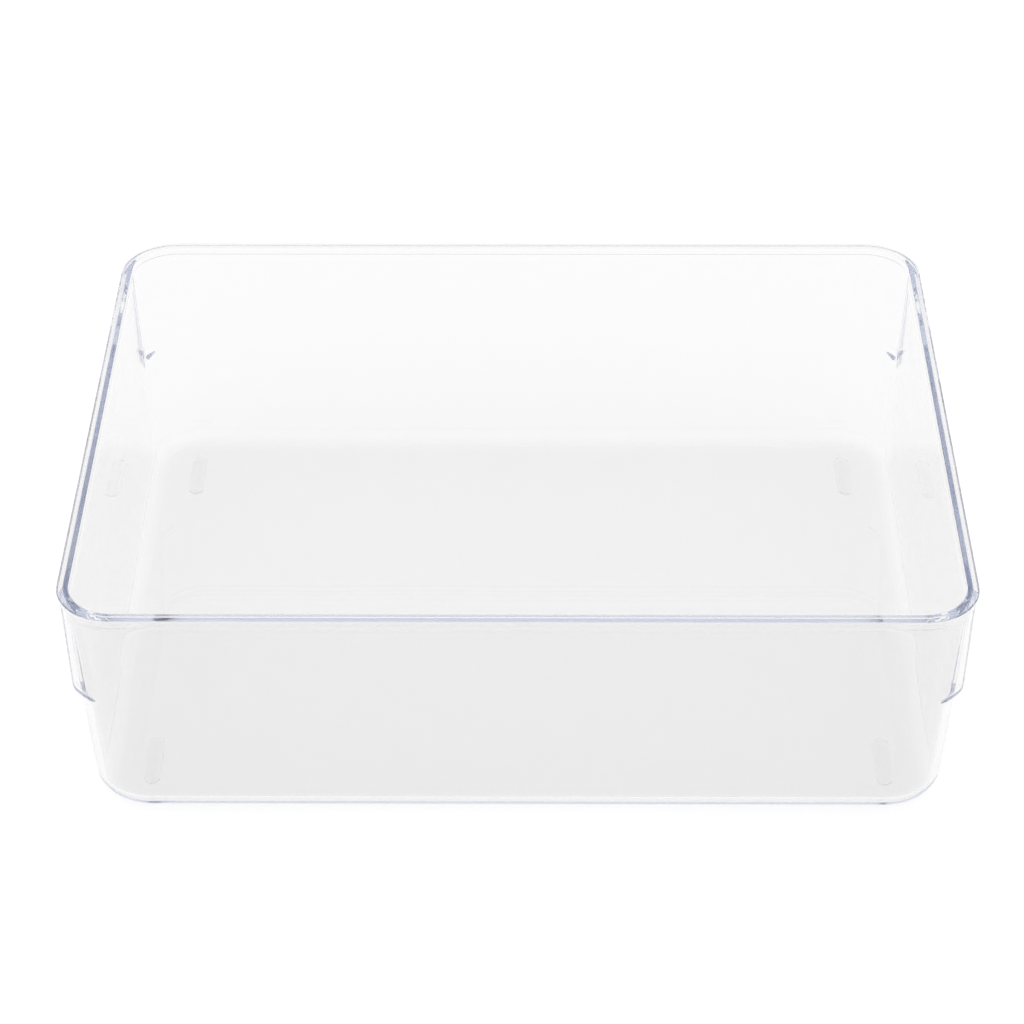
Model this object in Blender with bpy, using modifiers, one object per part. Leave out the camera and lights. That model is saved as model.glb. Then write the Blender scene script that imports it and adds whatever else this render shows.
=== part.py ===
"""Clear refrigerator bin: one drafted moulding with a beaded rim and hollow corner lugs, on four soft feet.

Metres, +Z up, +X to the right, +Y to the back. The origin is the centre of the footprint, on the surface
that the bin stands on. Every section of the bin is a rounded rectangle, given by its inset from the rim's
outline and its corner radius.
"""

import math

import bmesh
import bpy

# Driving dimensions of the whole bin
WIDTH = 0.254
DEPTH = 0.195
HEIGHT = 0.075
STAND = 0.001
WALL = 0.0021
FLOOR = 0.0024
GAP = 0.0003

# Plan corners: the rim's radius, and the wall's radius down at the floor
RIM_CORNER = 0.0166
BASE_CORNER = 0.0177

# Wall and floor
WALL_DRAFT = math.radians(2.77)
BASE_FILLET = 0.0060
FILLET_STEPS = 5

# Rim: a flat lip round a slightly higher bead over the wall, with a thinner band below the lip
RIM_PROUD = 0.0013
BAND_INSET = 0.00045
LIP_WIDTH = 0.0018
LIP_DROP = 0.0002
LIP_HEIGHT = 0.0010
BAND_HEIGHT = 0.0033
RIM_ROUND = 0.0004

# Corner lugs: hollow shoulders that stop stacked bins from jamming. They start with a step in the side wall and
# fade into the front or back wall. Angles run from the side wall, and the lists of them are in degrees
LUG_FADE = math.radians(12)
LUG_END = math.radians(52)
LUG_HEIGHT = 0.0362
LUG_INSET = 0.0005
LUG_DRAFT = math.radians(1.5)
LUG_RAMP = 0.0013
LUG_CORNER = 0.0015
LUG_ROWS = (0.0040, 0.0047, 0.0062, 0.0200, 0.0315, 0.0328, 0.0336, 0.0343, 0.0349, 0.0356)
LUG_ANGLES = (0, 1.5, 3, 4.7, 7.5, 10, 11.5, 13, 15, 20, 25, 30, 35, 40, 46)
PLAIN_ANGLES = (52, 58, 64, 70, 75, 80, 85, 90)
POCKET_LESS_WIDE = 0.0028
POCKET_LESS_HIGH = 0.0014
POCKET_CORNER = 0.0030

# Feet
FOOT_WIDTH = 0.0047
FOOT_LENGTH = 0.0200
FOOT_FROM_SIDE = 0.0206
FOOT_FROM_FRONT = 0.0273
FOOT_SEAT = 0.0006
FOOT_EDGE = 0.00025

CLEAR_PLASTIC = ("clear_plastic", (0.90, 0.92, 0.96, 1.0), 0.04)
SOFT_CLEAR = ("soft_clear_rubber", (0.86, 0.88, 0.91, 1.0), 0.35)


def clear_scene():
    for old in list(bpy.data.objects):
        bpy.data.objects.remove(old, do_unlink=True)


def new_collection(name):
    collection = bpy.data.collections.new(name)
    bpy.context.scene.collection.children.link(collection)
    return collection


def clear_material(name, color, roughness):
    material = bpy.data.materials.new(name)
    material.use_nodes = True
    shader = material.node_tree.nodes["Principled BSDF"]
    shader.inputs["Base Color"].default_value = color
    shader.inputs["Roughness"].default_value = roughness
    shader.inputs["Metallic"].default_value = 0.0
    shader.inputs["Transmission Weight"].default_value = 0.9
    return material


def new_object(name, bm, collection, material=None):
    mesh = bpy.data.meshes.new(name)
    bm.to_mesh(mesh)
    bm.free()
    obj = bpy.data.objects.new(name, mesh)
    collection.objects.link(obj)
    if material:
        mesh.materials.append(material)
    return obj


def wall_inset(drop):
    """Inset of the wall's outer face, this far below the rim's top."""
    return RIM_PROUD + drop * math.tan(WALL_DRAFT)


def wall_corner(drop):
    """Plan radius of the wall's outer face: it grows from the rim down to the floor."""
    share = drop / (HEIGHT - STAND)
    return (RIM_CORNER - RIM_PROUD) * (1 - share) + BASE_CORNER * share


def smooth_step(share):
    share = min(max(share, 0), 1)
    return share * share * (3 - 2 * share)


def lug_mask(angle, across, along, corner):
    """1 on the lug and 0 off it, from the distances past its side and lower edges.

    A ramp lies inside those edges, and the lug fades away round the corner.
    """
    across += corner
    along += corner
    outside = math.hypot(max(across, 0), max(along, 0)) + min(max(across, along), 0) - corner
    fade = (LUG_END - angle) / (LUG_END - LUG_FADE)
    return smooth_step(-outside / LUG_RAMP) * smooth_step(fade)


def lug_reach(angle, drop, thickness):
    """From the wall corner's centre to the lug, which is the rim's own outline moved in."""
    inset = LUG_INSET + drop * math.tan(LUG_DRAFT)
    radius = RIM_CORNER - inset - thickness
    shift = wall_inset(drop) + wall_corner(drop) - RIM_CORNER
    along_x = math.cos(angle)
    along_y = math.sin(angle)
    if (shift + radius) * along_y < shift * along_x:
        return (shift + radius) / along_x
    if (shift + radius) * along_x < shift * along_y:
        return (shift + radius) / along_y
    return shift * (along_x + along_y) + math.sqrt(radius ** 2 - (shift * (along_x - along_y)) ** 2)


def outer_bulge(angle, drop):
    """How far the lug pushes the wall's outer face outwards at this angle. It runs up into the rim's band."""
    radius = wall_corner(drop)
    mask = lug_mask(angle, -angle * radius, drop - LUG_HEIGHT, LUG_CORNER)
    return (lug_reach(angle, drop, 0) - radius) * mask


def inner_bulge(angle, drop):
    """How far the pocket behind the lug goes outwards at this angle. It stops below the rim."""
    radius = wall_corner(drop)
    along = max(drop - LUG_HEIGHT + POCKET_LESS_HIGH, BAND_HEIGHT - drop)
    mask = lug_mask(angle, POCKET_LESS_WIDE - angle * radius, along, POCKET_CORNER)
    return (lug_reach(angle, drop, WALL) - radius + WALL) * mask


def quarter_row(inset, corner, z, bulge):
    """A quarter of one section, from the middle of the side wall round the corner to the middle of the back."""
    half_x = WIDTH / 2 - inset
    half_y = DEPTH / 2 - inset
    row = [(half_x, 0, z)]
    for degrees in (*LUG_ANGLES, *PLAIN_ANGLES):
        angle = math.radians(degrees)
        reach = corner + bulge(angle)
        x = half_x - corner + reach * math.cos(angle)
        y = half_y - corner + reach * math.sin(angle)
        row.append((x, y, z))
    row.append((0, half_y, z))
    return row


def plain_row(inset, corner, z):
    return quarter_row(inset, corner, z, lambda angle: 0)


def outer_row(drop):
    """A section of the wall's outer face."""
    inset = wall_inset(drop)
    return quarter_row(inset, wall_corner(drop), HEIGHT - drop, lambda angle: outer_bulge(angle, drop))


def inner_row(drop):
    """A section of the wall's inner face."""
    inset = wall_inset(drop) + WALL
    corner = wall_corner(drop) - WALL
    return quarter_row(inset, corner, HEIGHT - drop, lambda angle: inner_bulge(angle, drop))


def fillet_rows(floor_z, radius, depth):
    """The rounded edge between a floor face and the wall face at this depth, from the floor up."""
    rows = []
    drop = HEIGHT - floor_z - radius
    for step in range(FILLET_STEPS + 1):
        turn = (math.pi / 2 - WALL_DRAFT) * step / FILLET_STEPS
        inward = depth + radius * (math.cos(WALL_DRAFT) - math.sin(turn))
        z = floor_z + radius * (1 - math.cos(turn))
        rows.append(plain_row(wall_inset(drop) + inward, wall_corner(drop) - inward, z))
    return rows


def rim_rows():
    """Up the outside of the rim and over its top: the band, the lip, the bead and their rounded edges."""
    eased = RIM_ROUND * (1 - math.sqrt(0.5))
    inner = RIM_PROUD + WALL
    profile = (
        (BAND_INSET + eased, BAND_HEIGHT),
        (BAND_INSET, BAND_HEIGHT - eased),
        (BAND_INSET, LIP_HEIGHT + eased),
        (eased, LIP_HEIGHT),
        (0, LIP_HEIGHT - eased),
        (0, LIP_DROP + RIM_ROUND),
        (eased, LIP_DROP + eased),
        (RIM_ROUND, LIP_DROP),
        (LIP_WIDTH, LIP_DROP),
        (LIP_WIDTH + eased, eased),
        (LIP_WIDTH + RIM_ROUND, 0),
        (inner - RIM_ROUND, 0),
        (inner - eased, eased),
    )
    return [plain_row(inset, RIM_CORNER - inset, HEIGHT - drop) for inset, drop in profile]


def body_rows():
    """Every section in order: under the floor, up the outside, over the rim and down the inside."""
    rows = fillet_rows(STAND, BASE_FILLET, 0)
    rows += [outer_row(drop) for drop in (LUG_HEIGHT, *reversed(LUG_ROWS), BAND_HEIGHT)]
    rows += rim_rows()
    rows += [inner_row(drop) for drop in (RIM_ROUND, BAND_HEIGHT, *LUG_ROWS, LUG_HEIGHT)]
    rows += reversed(fillet_rows(STAND + FLOOR, BASE_FILLET - WALL, WALL))
    return rows


def lofted_quarter(rows):
    """A quarter of the bin, open at X = 0 and Y = 0: the sections skinned, with both floor faces closed."""
    bm = bmesh.new()
    lines = [[bm.verts.new(point) for point in row] for row in rows]
    for lower, upper in zip(lines, lines[1:]):
        for first in range(len(lower) - 1):
            last = first + 1
            bm.faces.new((lower[first], lower[last], upper[last], upper[first]))
    underside_centre = bm.verts.new((0, 0, rows[0][0][2]))
    floor_centre = bm.verts.new((0, 0, rows[-1][0][2]))
    bm.faces.new((underside_centre, *reversed(lines[0])))
    bm.faces.new((floor_centre, *lines[-1]))
    return bm


def add_mirror(obj):
    mirror = obj.modifiers.new("four_corners", "MIRROR")
    mirror.use_axis = (True, True, False)
    mirror.merge_threshold = 0.00001


def bin_body(collection, material, seats):
    body = new_object("bin_body", lofted_quarter(body_rows()), collection, material)
    add_mirror(body)
    cut = body.modifiers.new("foot_seats", "BOOLEAN")
    cut.operation = "DIFFERENCE"
    cut.solver = "EXACT"
    cut.operand_type = "COLLECTION"
    cut.collection = seats
    return body


def oblong(name, width, length, height, collection, material=None):
    """A block with round ends, standing on its own origin."""
    bm = bmesh.new()
    bmesh.ops.create_cube(bm, size=1)
    bmesh.ops.scale(bm, vec=(width, length, height), verts=bm.verts)
    bmesh.ops.translate(bm, vec=(0, 0, height / 2), verts=bm.verts)
    weight = bm.edges.layers.float.new("bevel_weight_edge")
    for edge in bm.edges:
        start, end = edge.verts
        edge[weight] = float(start.co.xy == end.co.xy)
    block = new_object(name, bm, collection, material)
    ends = block.modifiers.new("round_ends", "BEVEL")
    ends.limit_method = "WEIGHT"
    ends.width = width * 0.49
    ends.segments = 6
    return block


def foot(name, place, collection, material):
    height = STAND + FOOT_SEAT - GAP
    pad = oblong(name, FOOT_WIDTH, FOOT_LENGTH, height, collection, material)
    edges = pad.modifiers.new("soft_edges", "BEVEL")
    edges.limit_method = "ANGLE"
    edges.angle_limit = math.radians(60)
    edges.width = FOOT_EDGE
    edges.segments = 2
    pad.location = (*place, 0)
    return pad


def foot_seat(name, place, collection):
    """The cutter of the shallow seat that holds one foot."""
    clearance = 2 * GAP
    seat = oblong(name, FOOT_WIDTH + clearance, FOOT_LENGTH + clearance, 2 * FOOT_SEAT, collection)
    seat.location = (*place, STAND - FOOT_SEAT)
    seat.hide_render = True
    seat.display_type = "WIRE"
    return seat


def build():
    clear_scene()
    parts = new_collection("fridge_bin")
    cutters = new_collection("fridge_bin_cutters")
    plastic = clear_material(*CLEAR_PLASTIC)
    rubber = clear_material(*SOFT_CLEAR)
    pieces = []
    for end, y in (("front", FOOT_FROM_FRONT - DEPTH / 2), ("back", DEPTH / 2 - FOOT_FROM_FRONT)):
        for side, x in (("left", FOOT_FROM_SIDE - WIDTH / 2), ("right", WIDTH / 2 - FOOT_FROM_SIDE)):
            pieces.append(foot(f"foot_{end}_{side}", (x, y), parts, rubber))
            foot_seat(f"seat_{end}_{side}", (x, y), cutters)
    pieces.append(bin_body(parts, plastic, cutters))
    frame = bpy.data.objects.new("fridge_bin_frame", None)
    parts.objects.link(frame)
    for piece in pieces:
        piece.parent = frame


build()
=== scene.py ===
"""Looks of the clear fridge bin: a finely lofted shell of polished clear plastic on four soft feet.

Metres, +Z up, +X to the right, +Y to the back, in the CAD's own frame. The outer sizes come from the
CAD's boxes. The named dimensions below are the CAD's, except that the lugs' ramps are longer (LUG_RAMP),
the pockets behind them reach nearer to the lugs' lower edge (POCKET_LESS_HIGH), and the floor has no
seats for the feet, whose pads end under it.
"""

import math

import bmesh
import bpy
from mathutils import Matrix, Vector


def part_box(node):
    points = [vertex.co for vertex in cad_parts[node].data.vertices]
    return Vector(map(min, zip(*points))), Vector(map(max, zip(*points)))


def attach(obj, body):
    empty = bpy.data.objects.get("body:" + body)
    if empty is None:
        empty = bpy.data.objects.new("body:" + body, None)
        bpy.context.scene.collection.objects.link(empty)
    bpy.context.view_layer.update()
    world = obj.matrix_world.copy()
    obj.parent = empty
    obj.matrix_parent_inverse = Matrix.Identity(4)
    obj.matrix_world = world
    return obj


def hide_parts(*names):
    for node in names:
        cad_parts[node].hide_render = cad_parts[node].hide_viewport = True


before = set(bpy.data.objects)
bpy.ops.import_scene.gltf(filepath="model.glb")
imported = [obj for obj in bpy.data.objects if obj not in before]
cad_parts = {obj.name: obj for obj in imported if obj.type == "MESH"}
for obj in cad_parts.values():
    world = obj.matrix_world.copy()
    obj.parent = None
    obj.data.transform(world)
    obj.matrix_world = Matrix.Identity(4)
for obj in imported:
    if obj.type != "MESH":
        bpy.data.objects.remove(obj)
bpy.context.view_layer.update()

# The bin's outer sizes, read from the frame
LOW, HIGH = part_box("bin_body")
WIDTH = HIGH.x - LOW.x
DEPTH = HIGH.y - LOW.y
HEIGHT = HIGH.z
STAND = LOW.z

# Wall, floor and plan corners
WALL = 0.0021
FLOOR = 0.0024
RIM_CORNER = 0.0166
BASE_CORNER = 0.0177
WALL_DRAFT = math.radians(2.77)
BASE_FILLET = 0.0060

# Rim: a flat lip round a slightly higher bead over the wall, with a thinner band below the lip
RIM_PROUD = 0.0013
BAND_INSET = 0.00045
LIP_WIDTH = 0.0018
LIP_DROP = 0.0002
LIP_HEIGHT = 0.0010
BAND_HEIGHT = 0.0033
RIM_ROUND = 0.0004
BAND_ROUND = 0.0003
LIP_ROUND = 0.0002

# Corner lugs: hollow shoulders that start with a step in the side wall, and fade into the front or back
# wall. Their angles run from the side wall
LUG_FADE = math.radians(12)
LUG_END = math.radians(52)
LUG_HEIGHT = 0.0362
LUG_INSET = 0.0005
LUG_DRAFT = math.radians(1.5)
LUG_RAMP = 0.0018
LUG_CORNER = 0.0015
POCKET_LESS_WIDE = 0.0028
POCKET_LESS_HIGH = 0.0004
POCKET_CORNER = 0.0030

# Mesh steps
CORNER_STEPS = 72
STRAIGHT_SHARES = (0.01, 0.03, 0.5, 0.97, 0.99)
FILLET_STEPS = 10
LEDGE_STEPS = 20
LEDGE_SPAN = 0.0060
WALL_STEPS = 10
BAND_EDGE_STEPS = 4
LIP_EDGE_STEPS = 4
RIM_EDGE_STEPS = 6
BEAD_EDGE_STEPS = 5

# Feet: the air film between a pad and the underside above it, the pad's rolled edge, and the radius of
# its round ends as a share of its width, just under a half so that a bevel never meets the next one
FOOT_FILM = 0.0001
FOOT_ROLL = 0.0002
FOOT_END_SHARE = 0.499
FOOT_END_SEGMENTS = 12
FOOT_ROLL_SEGMENTS = 4
SAME_PLACE = 1e-6

# Plastic of the bin: its tint at each surface, its polish, the moulding waves, and the tint of its body
PLASTIC_TINT = (0.93, 0.925, 0.927, 1)
PLASTIC_IOR = 1.5
PLASTIC_ROUGHNESS = (0.004, 0.02)
WEAR_SCALE = 90
WEAR_DETAIL = 4
FLOW_SCALE = 22
FLOW_DETAIL = 1
FLOW_STRETCH = (1, 1, 2.5)
FLOW_DEPTH = 0.0004
FLOW_STRENGTH = 0.12
BODY_TINT = (0.30, 0.40, 0.70, 1)
BODY_DENSITY = 1.6

# Soft clear pads
PAD_TINT = (0.99, 0.99, 0.995, 1)
PAD_IOR = 1.2
PAD_ROUGHNESS = (0.05, 0.12)
SKIN_SCALE = 900
SKIN_DETAIL = 3
SKIN_DEPTH = 0.00002
SKIN_STRENGTH = 0.3

# Part of the noise's range that is spread over a roughness
NOISE_RANGE = (0.3, 0.7)
EVEN = (1, 1, 1)

# Camera
CAMERA_PLACE = (0.0049, -0.7304, 0.5850)
CAMERA_DOWN = math.radians(36.764)
CAMERA_TURN = math.radians(0.554)
CAMERA_ROLL = math.radians(-0.254)
CAMERA_LENS = 105.47
CAMERA_SENSOR = 36
CAMERA_CLIP = 0.01

# Studio: a pale world, and a floor that glows so that it stays white under the clear plastic. Light is
# led along inside the thick rim for many bounces
WORLD_LOW = 0.2
WORLD_HIGH = 0.6
HORIZON = 1.0
ZENITH = 0.95
FLOOR_WHITE = 0.25
FLOOR_GLOW = 0.83
FLOOR_ROUGHNESS = 0.9
FLOOR_SIZE = 3
FLOOR_DROP = 0.0002
BOUNCES = 128
TRANSPARENT_BOUNCES = 32

ROOT = "root"


def new_object(name, bm):
    mesh = bpy.data.meshes.new(name)
    bm.to_mesh(mesh)
    bm.free()
    obj = bpy.data.objects.new(name, mesh)
    bpy.context.scene.collection.objects.link(obj)
    for face in mesh.polygons:
        face.use_smooth = True
    return obj


# ---------------------------------------------------------------- shell

def wall_inset(drop):
    """Inset of the wall's outer face, this far below the rim's top."""
    return RIM_PROUD + drop * math.tan(WALL_DRAFT)


def wall_corner(drop):
    """Plan radius of the wall's outer face: it grows from the rim down to the floor."""
    share = drop / (HEIGHT - STAND)
    return (RIM_CORNER - RIM_PROUD) * (1 - share) + BASE_CORNER * share


def smooth_step(share):
    share = min(max(share, 0), 1)
    return share * share * (3 - 2 * share)


def lug_mask(angle, across, along, corner):
    """1 on the lug and 0 off it, from the distances past its side and lower edges.

    A ramp lies inside those edges, and the lug fades away round the corner.
    """
    across += corner
    along += corner
    outside = math.hypot(max(across, 0), max(along, 0)) + min(max(across, along), 0) - corner
    fade = (LUG_END - angle) / (LUG_END - LUG_FADE)
    return smooth_step(-outside / LUG_RAMP) * smooth_step(fade)


def lug_reach(angle, drop, thickness):
    """From the wall corner's centre to the lug, which is the rim's own outline moved in."""
    inset = LUG_INSET + drop * math.tan(LUG_DRAFT)
    radius = RIM_CORNER - inset - thickness
    shift = wall_inset(drop) + wall_corner(drop) - RIM_CORNER
    along_x = math.cos(angle)
    along_y = math.sin(angle)
    if (shift + radius) * along_y < shift * along_x:
        return (shift + radius) / along_x
    if (shift + radius) * along_x < shift * along_y:
        return (shift + radius) / along_y
    return shift * (along_x + along_y) + math.sqrt(radius ** 2 - (shift * (along_x - along_y)) ** 2)


def outer_bulge(angle, drop):
    """How far the lug pushes the wall's outer face out at this angle. It runs up into the rim's band."""
    radius = wall_corner(drop)
    mask = lug_mask(angle, -angle * radius, drop - LUG_HEIGHT, LUG_CORNER)
    return (lug_reach(angle, drop, 0) - radius) * mask


def inner_bulge(angle, drop):
    """How far the pocket behind the lug goes outwards at this angle. It stops below the rim."""
    radius = wall_corner(drop)
    along = max(drop - LUG_HEIGHT + POCKET_LESS_HIGH, BAND_HEIGHT - drop)
    mask = lug_mask(angle, POCKET_LESS_WIDE - angle * radius, along, POCKET_CORNER)
    return (lug_reach(angle, drop, WALL) - radius + WALL) * mask


def no_bulge(angle):
    return 0.0


def section(inset, corner, z, bulge=no_bulge):
    """One closed section of the bin, counter-clockwise from the middle of the right side."""
    half_x = WIDTH / 2 - inset
    half_y = DEPTH / 2 - inset
    points = []
    for quarter in range(4):
        sign_x = (1, -1, -1, 1)[quarter]
        sign_y = (1, 1, -1, -1)[quarter]
        for step in range(CORNER_STEPS + 1):
            turn = step * math.pi / 2 / CORNER_STEPS
            from_side = turn if quarter % 2 == 0 else math.pi / 2 - turn
            reach = corner + bulge(from_side)
            x = sign_x * (half_x - corner + reach * math.cos(from_side))
            y = sign_y * (half_y - corner + reach * math.sin(from_side))
            points.append(Vector((x, y, z)))
        start = points[-1]
        end = next_start(quarter, half_x, half_y, corner, z, bulge)
        points += [start.lerp(end, share) for share in STRAIGHT_SHARES]
    return points


def next_start(quarter, half_x, half_y, corner, z, bulge):
    """Where the corner after this one starts."""
    if quarter % 2 == 0:
        x = (-1 if quarter == 0 else 1) * (half_x - corner)
        y = (1 if quarter == 0 else -1) * (half_y + bulge(math.pi / 2))
        return Vector((x, y, z))
    x = (-1 if quarter == 1 else 1) * (half_x + bulge(0))
    y = (-1 if quarter == 1 else 1) * (half_y - corner)
    return Vector((x, y, z))


def outer_section(drop):
    """The wall's outer face."""
    inset = wall_inset(drop)
    return section(inset, wall_corner(drop), HEIGHT - drop, lambda angle: outer_bulge(angle, drop))


def inner_section(drop):
    """The wall's inner face."""
    inset = wall_inset(drop) + WALL
    corner = wall_corner(drop) - WALL
    return section(inset, corner, HEIGHT - drop, lambda angle: inner_bulge(angle, drop))


def fillet_sections(floor_z, radius, depth):
    """The rounded edge between a floor face and the wall face at this depth, from the floor up."""
    sections = []
    drop = HEIGHT - floor_z - radius
    for step in range(FILLET_STEPS + 1):
        turn = (math.pi / 2 - WALL_DRAFT) * step / FILLET_STEPS
        inward = depth + radius * (math.cos(WALL_DRAFT) - math.sin(turn))
        z = floor_z + radius * (1 - math.cos(turn))
        sections.append(section(wall_inset(drop) + inward, wall_corner(drop) - inward, z))
    return sections


def arc(inset, drop, radius, start, end, steps):
    """Points of a profile's arc. Angle 0 faces outwards and 90 degrees faces up."""
    points = []
    for step in range(steps + 1):
        angle = math.radians(start + (end - start) * step / steps)
        points.append((inset - radius * math.cos(angle), drop - radius * math.sin(angle)))
    return points


def rim_sections():
    """Up the outside of the rim and over its top: band, lip and bead with their rounded edges."""
    inner = RIM_PROUD + WALL
    profile = arc(BAND_INSET + BAND_ROUND, BAND_HEIGHT - BAND_ROUND, BAND_ROUND, -90, 0, BAND_EDGE_STEPS)
    profile += [(BAND_INSET, LIP_HEIGHT + BAND_ROUND)]
    profile += arc(LIP_ROUND, LIP_HEIGHT - LIP_ROUND, LIP_ROUND, -70, 0, LIP_EDGE_STEPS)
    profile += arc(RIM_ROUND, LIP_DROP + RIM_ROUND, RIM_ROUND, 0, 90, RIM_EDGE_STEPS)
    profile += [(LIP_WIDTH, LIP_DROP)]
    profile += arc(LIP_WIDTH + RIM_ROUND, RIM_ROUND, RIM_ROUND, 30, 90, BEAD_EDGE_STEPS)
    profile += arc(inner - RIM_ROUND, RIM_ROUND, RIM_ROUND, 90, 170, RIM_EDGE_STEPS)
    return [section(inset, RIM_CORNER - inset, HEIGHT - drop) for inset, drop in profile]


def wall_drops(top):
    """Heights of the wall's sections from the top down, close together at the lug's ledge."""
    ledge = LUG_HEIGHT - LEDGE_SPAN
    upper = [top + (ledge - top) * step / WALL_STEPS for step in range(WALL_STEPS)]
    return upper + [ledge + LEDGE_SPAN * step / LEDGE_STEPS for step in range(LEDGE_STEPS + 1)]


def skin(bm, sections):
    """Joins each closed section to the next with a band of quads."""
    rings = [[bm.verts.new(point) for point in ring] for ring in sections]
    for lower, upper in zip(rings, rings[1:]):
        for first in range(len(lower)):
            last = (first + 1) % len(lower)
            bm.faces.new((lower[first], lower[last], upper[last], upper[first]))
    return rings


def shell():
    """The whole bin as one closed surface: up its outside, over the rim and down its inside."""
    sections = fillet_sections(STAND, BASE_FILLET, 0)
    sections += [outer_section(drop) for drop in reversed(wall_drops(BAND_HEIGHT))]
    sections += rim_sections()
    sections += [inner_section(drop) for drop in wall_drops(RIM_ROUND)]
    sections += reversed(fillet_sections(STAND + FLOOR, BASE_FILLET - WALL, WALL))
    bm = bmesh.new()
    rings = skin(bm, sections)
    bm.faces.new(reversed(rings[0]))
    bm.faces.new(rings[-1])
    obj = new_object("bin_shell", bm)
    normals = obj.modifiers.new("even_normals", "WEIGHTED_NORMAL")
    normals.keep_sharp = True
    return obj


# ---------------------------------------------------------------- feet

def edge_run(edge):
    """From one end of the edge to the other."""
    return edge.verts[0].co - edge.verts[1].co


def round_edges(bm, edges, radius, segments):
    bmesh.ops.bevel(bm, geom=edges, offset=radius, segments=segments, profile=0.5, affect="EDGES")


def foot_pad(node):
    """A soft pad with round ends and rolled edges, in the lower part of its CAD node's box."""
    low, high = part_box(node)
    high.z = STAND - FOOT_FILM
    size = high - low
    centre = (low + high) / 2
    bm = bmesh.new()
    bmesh.ops.create_cube(bm, size=1)
    bmesh.ops.scale(bm, vec=size, verts=bm.verts)
    bmesh.ops.translate(bm, vec=centre, verts=bm.verts)
    upright = [edge for edge in bm.edges if edge_run(edge).xy.length < SAME_PLACE]
    round_edges(bm, upright, size.x * FOOT_END_SHARE, FOOT_END_SEGMENTS)
    around = [edge for edge in bm.edges if abs(edge_run(edge).z) < SAME_PLACE]
    round_edges(bm, around, FOOT_ROLL, FOOT_ROLL_SEGMENTS)
    return new_object(node + "_pad", bm)


# ---------------------------------------------------------------- materials

def new_material(name):
    material = bpy.data.materials.new(name)
    material.use_nodes = True
    tree = material.node_tree
    return material, tree, tree.nodes["Principled BSDF"], tree.nodes["Material Output"]


def noise(tree, scale, detail, stretch):
    """Soft noise over the object's own space, drawn out along the axes by this stretch."""
    place = tree.nodes.new("ShaderNodeTexCoord")
    mapping = tree.nodes.new("ShaderNodeMapping")
    mapping.inputs["Scale"].default_value = stretch
    texture = tree.nodes.new("ShaderNodeTexNoise")
    texture.inputs["Scale"].default_value = scale
    texture.inputs["Detail"].default_value = detail
    tree.links.new(place.outputs["Object"], mapping.inputs["Vector"])
    tree.links.new(mapping.outputs[0], texture.inputs["Vector"])
    return texture.outputs["Fac"]


def spread(tree, value, low, high):
    """This 0 to 1 value, spread over another range."""
    span = tree.nodes.new("ShaderNodeMapRange")
    span.inputs["From Min"].default_value = NOISE_RANGE[0]
    span.inputs["From Max"].default_value = NOISE_RANGE[1]
    span.inputs["To Min"].default_value = low
    span.inputs["To Max"].default_value = high
    tree.links.new(value, span.inputs["Value"])
    return span.outputs[0]


def bump(tree, value, distance, strength, shader):
    relief = tree.nodes.new("ShaderNodeBump")
    relief.inputs["Distance"].default_value = distance
    relief.inputs["Strength"].default_value = strength
    tree.links.new(value, relief.inputs["Height"])
    tree.links.new(relief.outputs[0], shader.inputs["Normal"])


def clear_plastic():
    """Polished clear plastic: faint flow waves from moulding, fine wear, a tint where it is thick."""
    material, tree, shader, output = new_material("clear_plastic")
    shader.inputs["Base Color"].default_value = PLASTIC_TINT
    shader.inputs["IOR"].default_value = PLASTIC_IOR
    shader.inputs["Transmission Weight"].default_value = 1.0
    wear = noise(tree, WEAR_SCALE, WEAR_DETAIL, EVEN)
    tree.links.new(spread(tree, wear, *PLASTIC_ROUGHNESS), shader.inputs["Roughness"])
    flow = noise(tree, FLOW_SCALE, FLOW_DETAIL, FLOW_STRETCH)
    bump(tree, flow, FLOW_DEPTH, FLOW_STRENGTH, shader)
    volume = tree.nodes.new("ShaderNodeVolumeAbsorption")
    volume.inputs["Color"].default_value = BODY_TINT
    volume.inputs["Density"].default_value = BODY_DENSITY
    tree.links.new(volume.outputs[0], output.inputs["Volume"])
    return material


def soft_clear():
    """Soft clear pad: a fine satin skin over a clear body."""
    material, tree, shader, _ = new_material("soft_clear")
    shader.inputs["Base Color"].default_value = PAD_TINT
    shader.inputs["IOR"].default_value = PAD_IOR
    shader.inputs["Transmission Weight"].default_value = 1.0
    grain = noise(tree, SKIN_SCALE, SKIN_DETAIL, EVEN)
    tree.links.new(spread(tree, grain, *PAD_ROUGHNESS), shader.inputs["Roughness"])
    bump(tree, grain, SKIN_DEPTH, SKIN_STRENGTH, shader)
    return material


def white_floor():
    material, _, shader, _ = new_material("white_floor")
    shader.inputs["Base Color"].default_value = (FLOOR_WHITE, FLOOR_WHITE, FLOOR_WHITE, 1)
    shader.inputs["Roughness"].default_value = FLOOR_ROUGHNESS
    shader.inputs["Specular IOR Level"].default_value = 0.0
    shader.inputs["Emission Color"].default_value = (1, 1, 1, 1)
    shader.inputs["Emission Strength"].default_value = FLOOR_GLOW
    return material


# ---------------------------------------------------------------- studio

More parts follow.
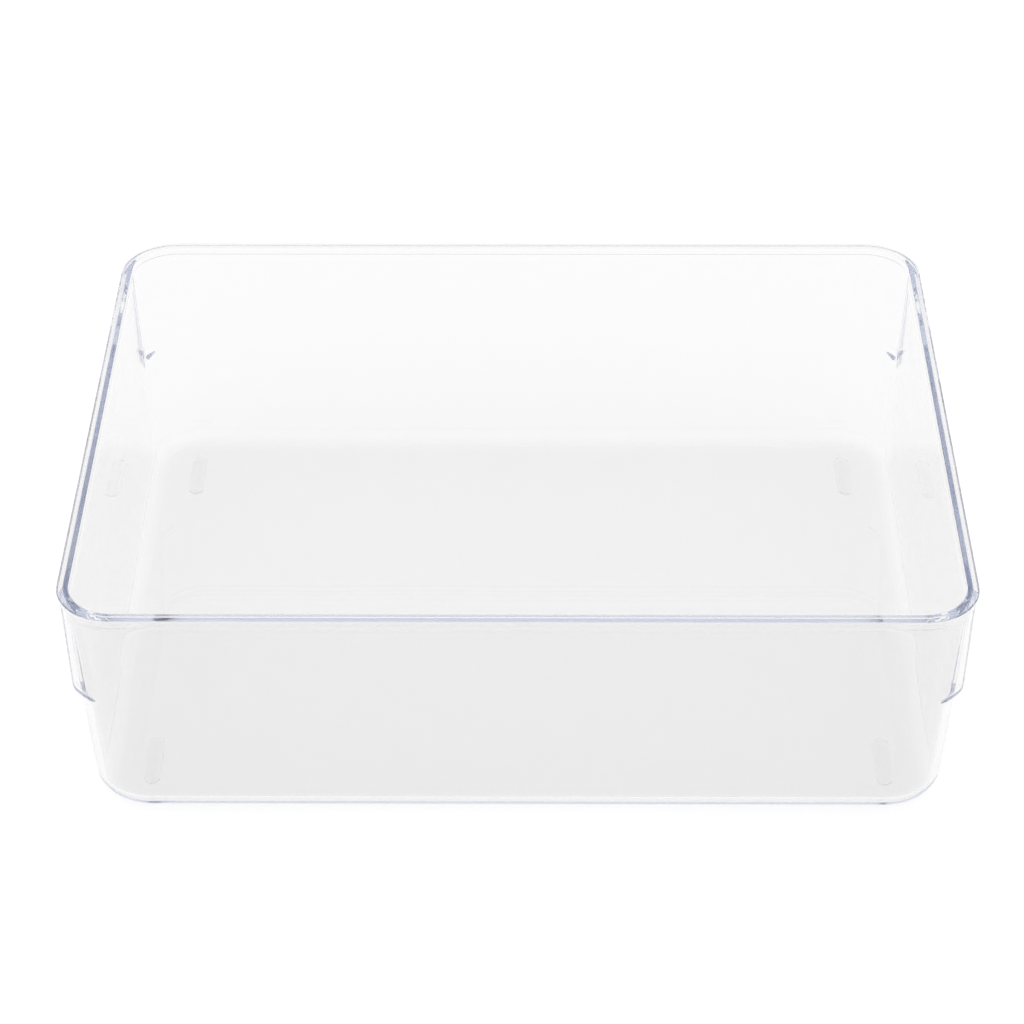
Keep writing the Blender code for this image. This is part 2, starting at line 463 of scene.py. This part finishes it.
def floor_plane():
    bm = bmesh.new()
    bmesh.ops.create_grid(bm, x_segments=1, y_segments=1, size=FLOOR_SIZE)
    floor = new_object("studio_floor", bm)
    floor.location.z = -FLOOR_DROP
    floor.data.materials.append(white_floor())


def studio():
    world = bpy.data.worlds.new("studio")
    world.use_nodes = True
    tree = world.node_tree
    background = tree.nodes["Background"]
    place = tree.nodes.new("ShaderNodeTexCoord")
    parts = tree.nodes.new("ShaderNodeSeparateXYZ")
    ramp = tree.nodes.new("ShaderNodeValToRGB")
    ramp.color_ramp.elements[0].position = WORLD_LOW
    ramp.color_ramp.elements[0].color = (*[HORIZON] * 3, 1)
    ramp.color_ramp.elements[1].position = WORLD_HIGH
    ramp.color_ramp.elements[1].color = (*[ZENITH] * 3, 1)
    tree.links.new(place.outputs["Generated"], parts.inputs[0])
    tree.links.new(parts.outputs["Z"], ramp.inputs[0])
    tree.links.new(ramp.outputs[0], background.inputs["Color"])
    background.inputs["Strength"].default_value = 1.0
    bpy.context.scene.world = world
    floor_plane()
    cycles = bpy.context.scene.cycles
    cycles.max_bounces = BOUNCES
    cycles.glossy_bounces = BOUNCES
    cycles.transmission_bounces = BOUNCES
    cycles.transparent_max_bounces = TRANSPARENT_BOUNCES
    bpy.context.scene.view_settings.view_transform = "Standard"


def camera():
    data = bpy.data.cameras.new("camera")
    data.sensor_width = CAMERA_SENSOR
    data.lens = CAMERA_LENS
    data.clip_start = CAMERA_CLIP
    obj = bpy.data.objects.new("camera", data)
    bpy.context.scene.collection.objects.link(obj)
    obj.location = CAMERA_PLACE
    turned = Matrix.Rotation(CAMERA_TURN, 3, "Z") @ Matrix.Rotation(math.pi / 2 - CAMERA_DOWN, 3, "X")
    obj.rotation_euler = (turned @ Matrix.Rotation(CAMERA_ROLL, 3, "Z")).to_euler()
    bpy.context.scene.camera = obj


def build():
    camera()
    body = shell()
    body.data.materials.append(clear_plastic())
    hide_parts("bin_body")
    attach(body, ROOT)
    rubber = soft_clear()
    for node in sorted(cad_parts):
        if not node.startswith("foot_"):
            continue
        pad = foot_pad(node)
        pad.data.materials.append(rubber)
        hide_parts(node)
        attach(pad, ROOT)
    studio()


build()
